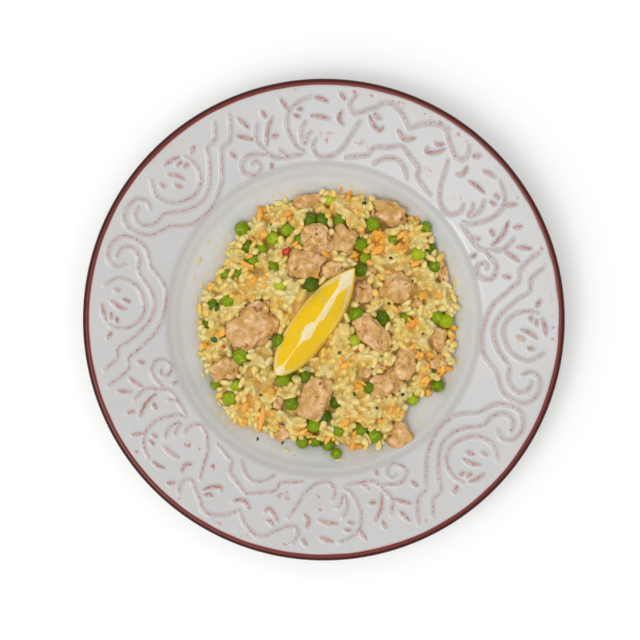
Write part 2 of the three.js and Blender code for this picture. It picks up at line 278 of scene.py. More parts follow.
def stewed_chicken():
    """Chunks of breast, stewed and torn: beige, faintly pink fibres, with painted shade making them
    browner in the cracks and holes, paler where the outside has set, with a thin wet film."""
    material, add, read = new_material(
        "stewed_chicken", ["crevice"], {"meat": (8, 3), "set": (4, 3), "fibres": (1.6, 3)}, Roughness=0.42,
        IOR=1.4, Specular_IOR_Level=0.4, Subsurface_Weight=0.6, Subsurface_Radius=(0.003, 0.0015, 0.0007))
    beige = add("ValToRGB", {"Fac": read.meat}, {"stops": [(0.35, "#c3964f"), (0.5, "#cfa668"),
                                                           (0.65, "#ddb78a")]})
    # Painted shade: browner in the tears, holes and low places, dark brown in the deepest.
    colour = coats(add, beige, (read.crevice, None, "#a4693e"), (read.set, (0.5, 0.7), "#e4c08f"),
                   (read.crevice, (0.8, 1), "#8a4f24"))
    relief = add("Bump", {"Height": read.fibres, "Strength": 0.35, "Distance": 0.3 * MM})
    return connect(material, Base_Color=colour, Normal=relief)


def lemon_flesh_and_peel():
    """A cut lemon: wet, glassy yellow pulp behind thin membranes, matt cream pith, oily peel with
    pits about a millimetre apart."""
    material, add, read = new_material(
        "lemon_flesh_and_peel", ["sacs", "pale", "pith", "white", "peel"],
        {"flesh": (9, 3), "fluff": (2.5, 3), "rind": (5, 3)}, Roughness=0.25, IOR=1.4,
        Specular_IOR_Level=0.35, Subsurface_Weight=0.12, Subsurface_Radius=(0.003, 0.002, 0.0004))
    pulp = coats(add, "#fed010", (read.flesh, None, "#ffd81c"), (read.sacs, (0.3, 0), "#fbd034"),
                 (read.pale, None, "#e0b97a"))
    pith = coats(add, "#efd684", (read.fluff, None, "#f6e5ae"))
    peel = coats(add, "#e8bc24", (read.rind, None, "#f0c93a"))
    colour = coats(add, pulp, (read.pith, (0.25, 0.75), pith), (read.white, None, "#fff0c6"),
                   (read.peel, (0.3, 0.7), peel))
    pits = add("TexVoronoi", {"Vector": read.point, "Scale": 1 / (1.1 * MM)})
    pitted = add("Math", {0: pits, 1: read.peel}, PRODUCT)
    relief = add("Bump", {"Height": pitted, "Strength": 0.4, "Distance": 0.3 * MM})
    return connect(material, Base_Color=colour, Normal=relief)


def grated_carrot():
    """Grated carrot, softened in the stock: bright orange, a little see-through at its edges."""
    material, add, read = new_material(
        "grated_carrot", ["tone"], {"shreds": (1.5, 3)}, Roughness=0.38, IOR=1.4, Subsurface_Weight=0.2,
        Subsurface_Radius=(0.002, 0.0008, 0.0002))
    orange = add("ValToRGB", {"Fac": read.tone}, {"stops": [(0, "#e58e1c"), (0.5, "#eda02c"),
                                                            (1, "#edb349")]})
    return connect(material, Base_Color=coats(add, orange, (read.shreds, None, "#eeb04c")))


def red_pepper():
    """Small bits of red sweet pepper, cooked: shiny and bright."""
    material, add, read = new_material("red_pepper", (), {"skin": (1.5,)}, Roughness=0.3, IOR=1.4)
    return connect(material, Base_Color=coats(add, "#c92f1c", (read.skin, None, "#e2523a")))


def dried_herb():
    """Crushed dried herbs and ground pepper: almost black green, dry and matt."""
    material, add, read = new_material("dried_herb", ["tone"], Roughness=0.7, IOR=1.45)
    leaf = add("ValToRGB", {"Fac": read.tone}, {"stops": [(0, "#2a2115"), (0.5, "#3c431d"),
                                                          (1, "#35662c")]})
    return connect(material, Base_Color=leaf)


def saffron_oil():
    """Thin drops of yellow cooking oil on the glaze: clear edges, glossy."""
    material, add, read = new_material("saffron_oil", (), {"film": (2,)}, Roughness=0.1, IOR=1.47)
    return connect(material, Base_Color=coats(add, "#d3bd54", (read.film, None, "#dccb86")))


# ---- handing a piece over -----------------------------------------------------------------------


def hand_over(name, mesh, material, slot, *nodes):
    """Puts a mesh in millimetres into the scene in metres, as a piece that rides on the plate."""
    mesh.transform(Matrix.Scale(MM, 4))
    mesh.materials.clear()
    mesh.materials.append(material)
    mesh.shade_smooth()
    piece = bpy.data.objects.new(name, mesh)
    bpy.context.scene.collection.objects.link(piece)
    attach(piece, "root")
    if nodes:
        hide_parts(*nodes)


def set_attributes(mesh, attributes):
    for key, values in attributes.items():
        layer = mesh.attributes.new(key, "FLOAT", "POINT")
        layer.data.foreach_set("value", np.asarray(values, np.float32))


def to_mesh(name, bm, **attributes):
    """A mesh of a bmesh, with one value for each vertex under each attribute's name."""
    bmesh.ops.recalc_face_normals(bm, faces=bm.faces)
    mesh = bpy.data.meshes.new(name)
    bm.to_mesh(mesh)
    bm.free()
    set_attributes(mesh, attributes)
    return mesh


def joined(name, copies, **attributes):
    """One mesh of many small things. Each copy is (template, 4x4 matrix); each attribute has one
    value for each copy."""
    points, faces, owners, start = [], [], [], 0
    for index, ((co, polygons), matrix) in enumerate(copies):
        points.append(co @ np.array(matrix)[:3, :3].T + np.array(matrix)[:3, 3])
        faces.extend([[start + v for v in polygon] for polygon in polygons])
        owners.append(np.full(len(co), index))
        start += len(co)
    mesh = bpy.data.meshes.new(name)
    mesh.from_pydata(np.concatenate(points).tolist(), [], faces)
    owners = np.concatenate(owners)
    set_attributes(mesh, {key: np.asarray(values)[owners] for key, values in attributes.items()})
    return mesh


def template_of(bm):
    """A small shape's points and faces, to be copied many times."""
    bmesh.ops.recalc_face_normals(bm, faces=bm.faces)
    bm.verts.index_update()
    shape = (positions(bm), [[v.index for v in face.verts] for face in bm.faces])
    bm.free()
    return shape


# ---- the plate and its ornament -----------------------------------------------------------------

# The ornament repeats in four quarters, each mirrored about the axes of an ogee arch and of a pair
# of scrolls. A stroke is drawn once, on one half: its points are (distance round the rim from the
# ogee's axis, distance out from the rim's inner edge), in millimetres.
ORNAMENT_RADIUS = 112  # distances round the rim are true here
OGEE_AXES = (66, 246)  # degrees from +X

RIDGES = {
    "outer band, scroll": [(159.5, 27.5), (157, 31.5), (158.5, 36.5), (162.5, 38.5), (167.5, 38.5),
                           (172.5, 35), (174.3, 29.5), (173.5, 24), (171.5, 19.5), (166.5, 16),
                           (162, 13.5)],
    "outer band, round": [(162, 13.5), (157.5, 8), (152, 3.5), (146, 2), (138.5, 1.5), (131, 2.5),
                          (124.5, 5), (118, 9), (113.5, 14.5), (109.5, 20), (107.5, 23.5), (102.5, 24.5)],
    "outer band, end": [(102.5, 24.5), (100, 27), (97, 33), (95.5, 38)],
    "inner band, scroll": [(162, 33.5), (166, 33), (168.5, 30.5), (169, 26.5), (166.5, 22.5), (163, 20.5),
                           (158, 20)],
    "inner band, round": [(158, 20), (154.5, 17), (150, 12.5), (145, 9.5), (139.5, 8), (134, 8),
                          (127.5, 10.5), (121.5, 16), (117, 22), (114.5, 27.5), (112.5, 29)],
    "inner band, end": [(112.5, 29), (108, 30), (106, 33), (103.5, 38)],
    "medallion": [(146.5, 36.5), (151, 30.5), (151.5, 25), (149, 19), (144.5, 15.5), (137, 13),
                  (129.5, 15), (125, 21), (124.5, 27.5), (126, 32)],
    "sprig stem": [(84, 27.5), (86, 24), (87.5, 20), (86.5, 16.5), (84.5, 13.5)],
    "sprig scroll": [(84, 10.5), (88, 11.5), (95, 13.5), (99.5, 12), (102.5, 9), (101.5, 5), (97, 2),
                     (92, 3.5), (91, 7), (93, 9), (95.5, 8)],
    "sprig root": [(84.5, 12), (81, 8), (76, 6.5), (70.5, 6), (62, 6)],
    "thorn": [(75.5, 10.5), (73.5, 7.5), (70.5, 6)],
    "acanthus circle": [(60.5, 7.5), (64.5, 10.5), (67, 16.5), (68, 23), (66, 30.5), (60.5, 35),
                        (54.5, 37)],
    "acanthus hook": [(57.5, 23.5), (60.5, 19), (60.5, 13.5), (59, 12), (57.5, 15.5), (55, 18)],
    "acanthus sweep": [(52, 13.5), (54, 10), (52, 5), (48, 3.5), (40.5, 5), (34, 10.5), (30.5, 17.5),
                       (27, 25)],
    "ogee crest": [(31, 38.5), (33.5, 34), (32.5, 30), (29.5, 29), (25, 31.5), (20.5, 34.5), (17.5, 37.5),
                   (14, 38.5), (10.5, 37.5), (5.5, 34.5), (0, 29)],
    "ogee, outer": [(32, 4), (25, 5.5), (18, 7.5), (16.5, 10.5), (14.5, 13), (7.5, 15.5), (0, 19)],
    "ogee, inner": [(12.5, 4), (6.5, 9), (0, 11.2)],
}

LEAVES = {
    "medallion crown": [(137, 36.5), (132.5, 35.5), (128.5, 34)],
    "medallion leaf": [(139, 31.5), (136, 27), (135, 23)],
    "medallion bud, left": [(145.2, 30.8), (144.8, 27.8)],
    "medallion bud, low": [(140.5, 25), (139, 21)],
    "medallion bud, high": [(132.4, 31.2), (129.2, 31)],
    "medallion bud, right": [(130.2, 28.2), (127.2, 27.8)],
    "leaf by the medallion": [(122.5, 31.3), (119, 33.5)],
    "sprig, outer": [(92, 34.5), (90.5, 31), (89, 27.5)],
    "sprig, inner": [(96.5, 26), (93, 23.5), (89, 20.5)],
    "sprig, bud": [(79.5, 34), (78.5, 30)],
    "sprig, long": [(74.5, 29), (78.5, 24), (81, 19), (82.5, 15)],
    "sprig, side": [(78, 18.5), (74, 18.5)],
    "sprig, drop": [(104, 19), (102.5, 15.5)],
    "sprig, foot": [(83.5, 4.7), (84, 2)],
    "acanthus tip": [(68.5, 37.5), (67, 34), (65.5, 31)],
    "acanthus crown": [(51.5, 36.5), (48, 35.5), (45, 34)],
    "acanthus bud, high": [(61.2, 31), (58.3, 30.5)],
    "acanthus bud, low": [(63.2, 27.7), (60.3, 26.5)],
    "acanthus leaf": [(54, 26.5), (49, 26), (44, 24.5)],
    "arch leaf, side": [(37.5, 29.5), (38.5, 25), (36, 22)],
    "arch leaf, high": [(38.5, 38.8), (36, 35.5)],
    "arch bud": [(20, 31), (18, 29), (16, 29)],
    "arch leaf": [(22, 29), (19.5, 25), (15, 22.5), (13.5, 25)],
    "arch middle": [(5, 25.5), (0, 23), (-5, 26)],
}

# Worn patches where the clay shows as speckle: place as above, and radius.
WORN_PATCHES = [(23, 14.5, 5), (44, 15, 5), (8, 40.5, 3), (28, 40.7, 3), (60, 40.6, 2.5), (100, 39, 2)]
# The rim is scraped beside the lip at this radius, between these directions in radians.
SCRAPED_RADIUS, SCRAPED = 128.4, (-0.1, 1.5)

# Half width of a stroke at its foot and at its crest, and its height.
RIDGE = (1.9, 0.6, 0.72)
LEAF = (2.2, 1.05, 0.85)
STROKE_REACH, FINE_REACH = 2.3, 3.1  # from a stroke: how far relief and cut faces can reach
WOBBLE = 0.45  # how far the modeller's hand strayed


def on_rim(round_distance, out_distance, axis, side):
    angle = math.radians(axis) + side * round_distance / ORNAMENT_RADIUS
    r = RIM_INNER + out_distance
    return Vector((r * math.cos(angle), r * math.sin(angle), 0))


def ornament_samples():
    """Points along every stroke of the rim: place, half width, crest width and height there."""
    samples = []
    for axis in OGEE_AXES:
        for side in (1, -1):
            for strokes, (half, crest, height) in ((RIDGES, RIDGE), (LEAVES, LEAF)):
                for order, stroke in enumerate(strokes.values()):
                    line = spline([np.array(p, float) for p in stroke])
                    for number, (s, t) in enumerate(line):
                        share = number / (len(line) - 1)
                        if strokes is LEAVES:
                            swell = 0.45 + 0.55 * math.sin(math.pi * share) ** 0.7
                        else:
                            swell = 0.78 + 0.22 * min(1, 6 * share, 6 * (1 - share))
                        hand = Vector((s / 14, t / 14, axis + side * 5 + order))
                        shift = WOBBLE * noise.noise(hand)
                        samples.append((on_rim(s + shift, t + shift, axis, side),
                                        half * swell, crest * swell, height * (0.7 + 0.3 * swell)))
    return samples


def plate_profile():
    """The plate's outline, from the middle of its upper face round the lip to the middle below."""
    inner = [0, 16, 32, 44, 48, 52, 56, 60, 64, 68, 72, 76, 80, 82.5, 84, 85, 86, 87, 88, 89.5]
    rim = np.linspace(91.5, 130, 21)
    outline = [(r, float(plate_top(r))) for r in [*inner, *rim, LIP_INNER]]
    middle = LIP_Z - WALL / 2
    for turn in np.radians([128, 116, 104, 92, 78, 62, 44, 26, 8, -12, -32, -52, -72]):
        outline.append((PLATE_RADIUS - WALL / 2 * (1 - math.cos(turn)), middle + WALL / 2 * math.sin(turn)))
    outline += [(r, float(plate_top(r)) - WALL) for r in (128, 118, 106, 95, 90)]
    outline += [(r + 3, float(plate_top(r)) - WALL) for r in (84, 82, 78, 73, 67)]
    foot = [(FOOT_OUTER + 2, UNDER_Z + 0.6), (FOOT_OUTER + 0.6, 1.6), (FOOT_OUTER, 0.4),
            (FOOT_OUTER - 0.5, 0), (FOOT_INNER + 0.5, 0), (FOOT_INNER, 0.4),
            (FOOT_INNER - 1.6, UNDER_Z), (25, UNDER_Z), (0, UNDER_Z)]
    return outline + foot


def build_plate(material):
    bm = bmesh.new()
    outline = [bm.verts.new((r, 0, z)) for r, z in plate_profile()]
    edges = [bm.edges.new(pair) for pair in zip(outline, outline[1:])]
    bmesh.ops.spin(bm, geom=outline + edges, axis=(0, 0, 1), cent=(0, 0, 0), angle=2 * math.pi,
                   steps=360, use_merge=True)
    bmesh.ops.remove_doubles(bm, verts=bm.verts, dist=0.01)

    # The rim's faces near a stroke are cut three by three, so that the ornament is real relief.
    samples = ornament_samples()
    tree = KDTree(len(samples))
    for index, sample in enumerate(samples):
        tree.insert(sample[0], index)
    tree.balance()
    near = []
    for face in bm.faces:
        x, y, z = face.calc_center_median()
        if RIM_INNER < math.hypot(x, y) < LIP_INNER and z > RIM_INNER_Z - 1:
            if tree.find((x, y, 0))[2] < FINE_REACH:
                near.append(face)
    edges = list({edge for face in near for edge in face.edges})
    bmesh.ops.subdivide_edges(bm, edges=edges, cuts=2, use_grid_fill=True)

    patches = [(on_rim(s, t, axis, side), radius) for s, t, radius in WORN_PATCHES
               for axis in OGEE_AXES for side in (1, -1)]
    masks = {key: [] for key in ("clay", "lip", "lip_out", "pool", "oil", "foot")}
    for vert in bm.verts:
        x, y, z = vert.co
        flat = Vector((x, y, 0))
        r, angle = math.hypot(x, y), math.atan2(y, x)
        upper = z > plate_top(min(r, LIP_INNER)) - 1
        inside = -1  # how far within a crest, or a worn patch, the point lies
        if upper and RIM_INNER + 0.5 < r < LIP_INNER - 0.4:
            rise = 0
            for _, index, distance in tree.find_range(flat, STROKE_REACH):
                _, half, crest, height = samples[index]
                rise = max(rise, height * 0.5 * (1 + math.cos(math.pi * min(1, distance / half))))
                inside = max(inside, crest - distance)
            vert.co.z += rise
            for place, radius in patches:
                away = (flat - place).length
                if away < radius:
                    inside = max(inside, 2 * noise.noise(flat / 1.2) - 0.6 * away / radius)
            if SCRAPED[0] < angle < SCRAPED[1]:
                scrape = 2.4 * noise.noise(Vector((40 * angle, 3, 0)))
                inside = max(inside, scrape - 0.9 * abs(r - SCRAPED_RADIUS))
        edge = LIP_INNER + 0.2 + 0.2 * noise.noise(flat / 12)
        below = 1 - smoothstep(LIP_Z - WALL - 0.6, LIP_Z - WALL + 0.4, z)
        streak = noise.noise(Vector((2.2 * math.cos(angle), 2.2 * math.sin(angle), 3)))
        ring = abs(r - (float(heap_edge(angle)) + 2))
        oily = (1 - smoothstep(0, 5, ring)) * (0.3 + 0.4 * streak) if upper and r < BOWL_RADIUS else 0
        values = (inside, smoothstep(edge - 0.3, edge + 0.3, r) * (1 - below),
                  # painted shade on the lip: 0 at its inner edge, 1 at the plate's edge
                  np.clip((r - LIP_INNER) / (PLATE_RADIUS - LIP_INNER), 0, 1),
                  # painted light: this mask is 1 over the whole well, which gets the lighter, cooler coat
                  1 - smoothstep(RIM_INNER - 3, RIM_INNER, r), oily,
                  FOOT_INNER - 1 < r < FOOT_OUTER + 0.3 and z < 1)
        for column, value in zip(masks.values(), values):
            column.append(float(value))
    hand_over("plate_glazed", to_mesh("plate_glazed", bm, **masks), material, "glazed_plate", "plate")


# ---- chicken ------------------------------------------------------------------------------------

CHUNK_SQUARENESS, CHUNK_UNEVENNESS, CHUNK_TEARS = 3.2, 0.13, 1.9
CHUNK_SUNK, CHUNK_SIDE_RADIUS = 0.2, 55

# Middle x and y, size, turn in degrees, and lift above the rice, as in the frame.
CHUNKS = [
    (-3.7, 45.2, (18, 16.5, 13), 10, 2.6), (-11, 31.2, (20.5, 16, 12), -12, 2.2),
    (11.6, 44.8, (15, 17, 12), -15, 2.2), (36.8, 60.4, (20.5, 13, 11), -18, 3.4),
    (-9.9, 66.5, (15, 9, 8), 6, 1.2), (41.3, 18.2, (17, 16, 11), -14, 1.8),
    (-40.6, -4.4, (28, 21, 14.5), 34, 2.4), (-55.6, -28.2, (17.5, 13, 10.5), 22, 1.8),
    (-5.2, -44.4, (17, 26.5, 14), -22, 2.8), (27.6, -7.4, (26, 13.5, 12), -46, 2.2),
    (46.6, -24, (12.5, 19, 12.5), -16, 2.6), (34.9, -36.2, (20, 14, 11), 18, 1.8),
    (65.6, -11.4, (8.5, 14, 8), 6, 0.6), (66.4, 27.6, (6.5, 15, 7), 22, 0.4),
    (22.4, 15.4, (11, 13, 9), 24, 0.6), (43, -66, (13.5, 14.5, 9), 38, 1.6),
    (4.4, 27.8, (13, 9.5, 9), 12, 0.8), (64.6, -24.6, (11.5, 7.5, 7), 20, 0.6),
]

# Scraps lie in the rice beside the chunks.
SCRAPS = [
    (-42.3, -30.1, (6, 8, 6), 10, 1.6), (-26.4, -47.1, (6, 8, 6), -15, 1.4),
    (-23.6, -63.6, (8.5, 7, 6), 5, 1.2), (52, 8, (7, 5, 5), 30, 1.2), (24, -30, (6, 5, 5), 60, 1.2),
    (32, -26, (7, 5, 5), 10, 1.4), (-33, 8, (5, 6, 5), 0, 1.2), (2, 14, (5, 4, 4), 0, 1),
    (26, 27, (7, 5, 5), -20, 1.2),
]


def build_chunk(name, number, chunk):
    """A torn piece of meat: the frame's rounded box, with curdled lumps, a few long tears along
    its fibres and a fine crumb. How deep a point lies in a tear or hole is kept as painted shade."""
    x, y, size, turn, lift = chunk
    bm = bmesh.new()
    bmesh.ops.create_icosphere(bm, subdivisions=6 if max(size) > 16 else 5, radius=1)
    way = positions(bm)
    way /= np.linalg.norm(way, axis=1)[:, None]
    box = (np.abs(way) ** CHUNK_SQUARENESS).sum(1) ** (-1 / CHUNK_SQUARENESS)
    at = way * CHUNK_TEARS
    torn = 1 + CHUNK_UNEVENNESS * value_noise(at[:, 0] + 7 * number, at[:, 1], at[:, 2])
    body = way * (box * torn / 2)[:, None] * np.array(size)
    out = way * np.array(size)
    out /= np.linalg.norm(out, axis=1)[:, None]
    crevice = []
    for vert, place, outward in zip(bm.verts, body, out):
        p = Vector(place) + Vector((31 * number, 0, 0))
        warped = p + 2.2 * noise.noise_vector(p / 5)
        near, next_near = noise.voronoi(warped / 6.5)[0][:2]
        lump = float(smoothstep(0, 0.5, next_near - near)) - 0.6
        tear = 1 - float(smoothstep(0, 0.06, abs(noise.noise(warped / 7 + Vector((0, 0, 40))))))
        tear *= float(smoothstep(0.1, 0.4, noise.noise(p / 5 + Vector((9, 0, 0)))))
        crumb = noise.fractal(warped / 2.0, 0.9, 2.0, 3)
        fibre = noise.noise(Vector((warped.x * 0.2, warped.y, warped.z)) / 1.5)
        knob = noise.noise(warped / 2.9)
        ragged = noise.noise(warped / 4.8 + Vector((0, 17, 0))) + 0.4 * noise.noise(warped / 1.3)
        hole = float(smoothstep(0.5, 0.64, ragged))
        rise = (2.4 * noise.noise(p / 6.5) + 0.5 * lump + 0.6 * knob + 0.2 * crumb + 0.25 * fibre
                - 1.4 * tear - 1.1 * hole)
        vert.co = Vector(place) + Vector(outward) * rise
        # Painted shade: more in tears and holes, less on knobs, crumb, lumps and fibres.
        brown = np.clip(0.6 * tear - 0.35 * knob - 0.25 * crumb - 0.25 * lump - 0.2 * fibre, 0, 0.8)
        crevice.append(max(float(brown), hole))
    r = math.hypot(x, y)
    in_rice = float(heap_top(x, y)) + lift - size[2] * CHUNK_SUNK
    on_plate = float(plate_top(r)) + size[2] * (0.5 - CHUNK_SUNK / 2) if r > CHUNK_SIDE_RADIUS else 0
    place = Matrix.Translation((x, y, max(in_rice, on_plate))) @ Matrix.Rotation(math.radians(turn), 4, "Z")
    bmesh.ops.transform(bm, matrix=place, verts=bm.verts)
    return to_mesh(name, bm, crevice=crevice)


# ---- the lemon ----------------------------------------------------------------------------------

LEMON_LENGTH, LEMON_RADIUS, LEMON_WEDGE = 74, 23.4, 60
LEMON_PLACE, LEMON_TURN = (-4.6, -1, 45.5), 53.75
LEMON_SECTIONS, LEMON_AROUND = 170, 150
CUT_SHARE = 0.4  # of the way round the section, each cut takes this much and the peel the rest

# Along the wedge, from its lower left tip at -1 to its upper right tip at 1, in millimetres: half
# the width of the white core, how far it strays to the lower right, the pith's width on the upper
# left and lower right cuts, and the peel's width there.
LEMON_STEPS = [-1, -0.93, -0.8, -0.7, -0.5, -0.36, -0.26, -0.14, 0, 0.12, 0.32, 0.5, 0.62, 0.75, 0.9, 1]
CORE_HALF = [4, 2.6, 0.1, 0, 0.05, 0.5, 2.6, 2.5, 0.7, 1.4, 1.2, 0.8, 1.4, 3.4, 5, 6]
CORE_STRAY = [0, 0, 0.3, 0.2, 0, 0, 0.1, -0.2, 0.8, 1.2, 0.5, 0, 0.2, 0.2, 0, 0]
LEMON_PALE = [(0.33, 6.5, 1, 2.6), (0.19, 6, -1, 2.4)]  # bruised spots: s, depth, side, radius
PITH_LEFT = [4, 2.6, 1.6, 1.2, 1.1, 1.1, 1.1, 1.1, 1.2, 1.2, 1.3, 1.5, 1.9, 2.8, 4.5, 6]
PITH_RIGHT = [4, 2.4, 1.0, 0.5, 0.5, 0.5, 0.5, 0.5, 0.6, 0.8, 1.4, 2.0, 2.6, 3.4, 4.5, 6]
PEEL_LEFT = [0.7] * 16
PEEL_RIGHT = [0.9, 1.1, 1.4, 1.6, 1.8, 1.9, 1.9, 1.8, 1.7, 1.6, 1.5, 1.4, 1.3, 1.2, 1.1, 1]


def lemon_share(s):
    """Share of the full radius along the fruit: blunt at the stem end, drawn out at the other."""
    blunt = (1 - np.abs(np.minimum(s, 0)) ** 2.6) ** 0.62
    drawn = (1 - np.maximum(s, 0) ** 2.3) ** 0.95
    return np.where(s < 0, blunt, drawn)


def build_lemon():
    """The wedge is one grid wrapped round its section: from the core out along one cut, round the
    peel and back along the other cut."""
    bm = bmesh.new()
    bmesh.ops.create_grid(bm, x_segments=LEMON_SECTIONS, y_segments=LEMON_AROUND, size=1)
    grid = positions(bm)
    s = -np.cos(math.pi * (grid[:, 0] + 1) / 2) * 0.985
    turn = (grid[:, 1] + 1) / 2
    r = LEMON_RADIUS * np.maximum(lemon_share(s), 0.02)
    half = math.radians(LEMON_WEDGE / 2)
    left = turn < 0.5
    out = np.clip(np.where(left, turn, 1 - turn) / CUT_SHARE, 0, 1)
    side = np.where(left, 1, -1)
    arc = np.clip((turn - CUT_SHARE) / (1 - 2 * CUT_SHARE), 0, 1)
    on_peel = (turn > CUT_SHARE) & (turn < 1 - CUT_SHARE)
    angle = np.where(on_peel, -math.pi / 2 + half * (1 - 2 * arc), -math.pi / 2 + side * half)
    depth = np.where(on_peel, r, r * out)

    def along(table):
        return np.interp(s, LEMON_STEPS, table)

    def strayed(along_pitch, out_pitch):
        return np.array([noise.noise(Vector((a * along_pitch, b * out_pitch, c)))
                         for a, b, c in zip(s, out, side)])

    core = np.maximum(along(CORE_HALF) + along(CORE_STRAY) * -side, 0) / math.sin(half)
    peel_width = np.where(left, along(PEEL_LEFT), along(PEEL_RIGHT)) / math.sin(half)
    pith_width = np.where(left, along(PITH_LEFT), along(PITH_RIGHT)) / math.sin(half)
    wobble, jag = strayed(9, 3), strayed(24, 9)
    from_peel = r - depth + 0.4 * wobble
    from_core = depth + (0.9 * wobble + 0.8 * jag) * np.minimum(1, core)
    peel = 1 - smoothstep(peel_width - 0.25, peel_width + 0.25, from_peel)
    pith = 1 - smoothstep(peel_width + pith_width - 0.3, peel_width + pith_width + 0.3, from_peel)
    white = 1 - smoothstep(core - 0.35, core + 0.35, from_core)
    white = white * (0.12 + 0.88 * smoothstep(0.2, 1, core))
    peel = np.where(on_peel, 1, peel)
    pith = np.where(on_peel, 0, pith)
    white = np.where(on_peel, 0, white * (1 - peel))
    # The pulp stands a little proud of its membranes, in sacs that run from the core to the peel.
    cells = [noise.voronoi(Vector((a * 17, b * 3.2, 5 * c)))[0] for a, b, c in zip(s, out, side)]
    sacs = np.array([near[1] - near[0] for near in cells])
    pulp = (1 - np.maximum(peel, np.maximum(pith, white))) * np.where(on_peel, 0, 1)
    proud = pulp * (0.25 + 0.07 * smoothstep(0, 0.5, sacs)) + 0.15 * wobble * (1 - peel)
    across = depth * np.cos(angle) + np.where(on_peel, 0, side * math.cos(half)) * proud
    up = depth * np.sin(angle) + np.where(on_peel, 0, math.sin(half)) * proud
    for vert, place in zip(bm.verts, np.column_stack([s * LEMON_LENGTH / 2, across, up])):
        vert.co = place
    pale = np.zeros(len(s))
    for spot_s, spot_depth, spot_side, size in LEMON_PALE:
        away = np.hypot((s - spot_s) * LEMON_LENGTH / 2, depth - spot_depth)
        pale = np.maximum(pale, (side == spot_side) * (1 - smoothstep(0.4, 1, away / size)))
    values = {"peel": peel, "pith": pith, "white": white, "sacs": sacs * pulp, "pale": pale * 0.6}
    for key in values:
        layer = bm.verts.layers.float.new(key)
        for vert, value in zip(bm.verts, values[key]):
            vert[layer] = float(value)
    ends = [v for v in bm.verts if v.is_boundary and abs(v.co.x) < LEMON_LENGTH / 2 * 0.98]
    bmesh.ops.remove_doubles(bm, verts=ends, dist=0.05)
    bmesh.ops.holes_fill(bm, edges=[e for e in bm.edges if e.is_boundary], sides=0)
    place = Matrix.Translation(LEMON_PLACE) @ Matrix.Rotation(math.radians(LEMON_TURN), 4, "Z")
    bmesh.ops.transform(bm, matrix=place, verts=bm.verts)
    return to_mesh("lemon", bm)


# ---- the pile of loose things -------------------------------------------------------------------

CELL, REACH = 0.4, 90  # the height map's cell and half width


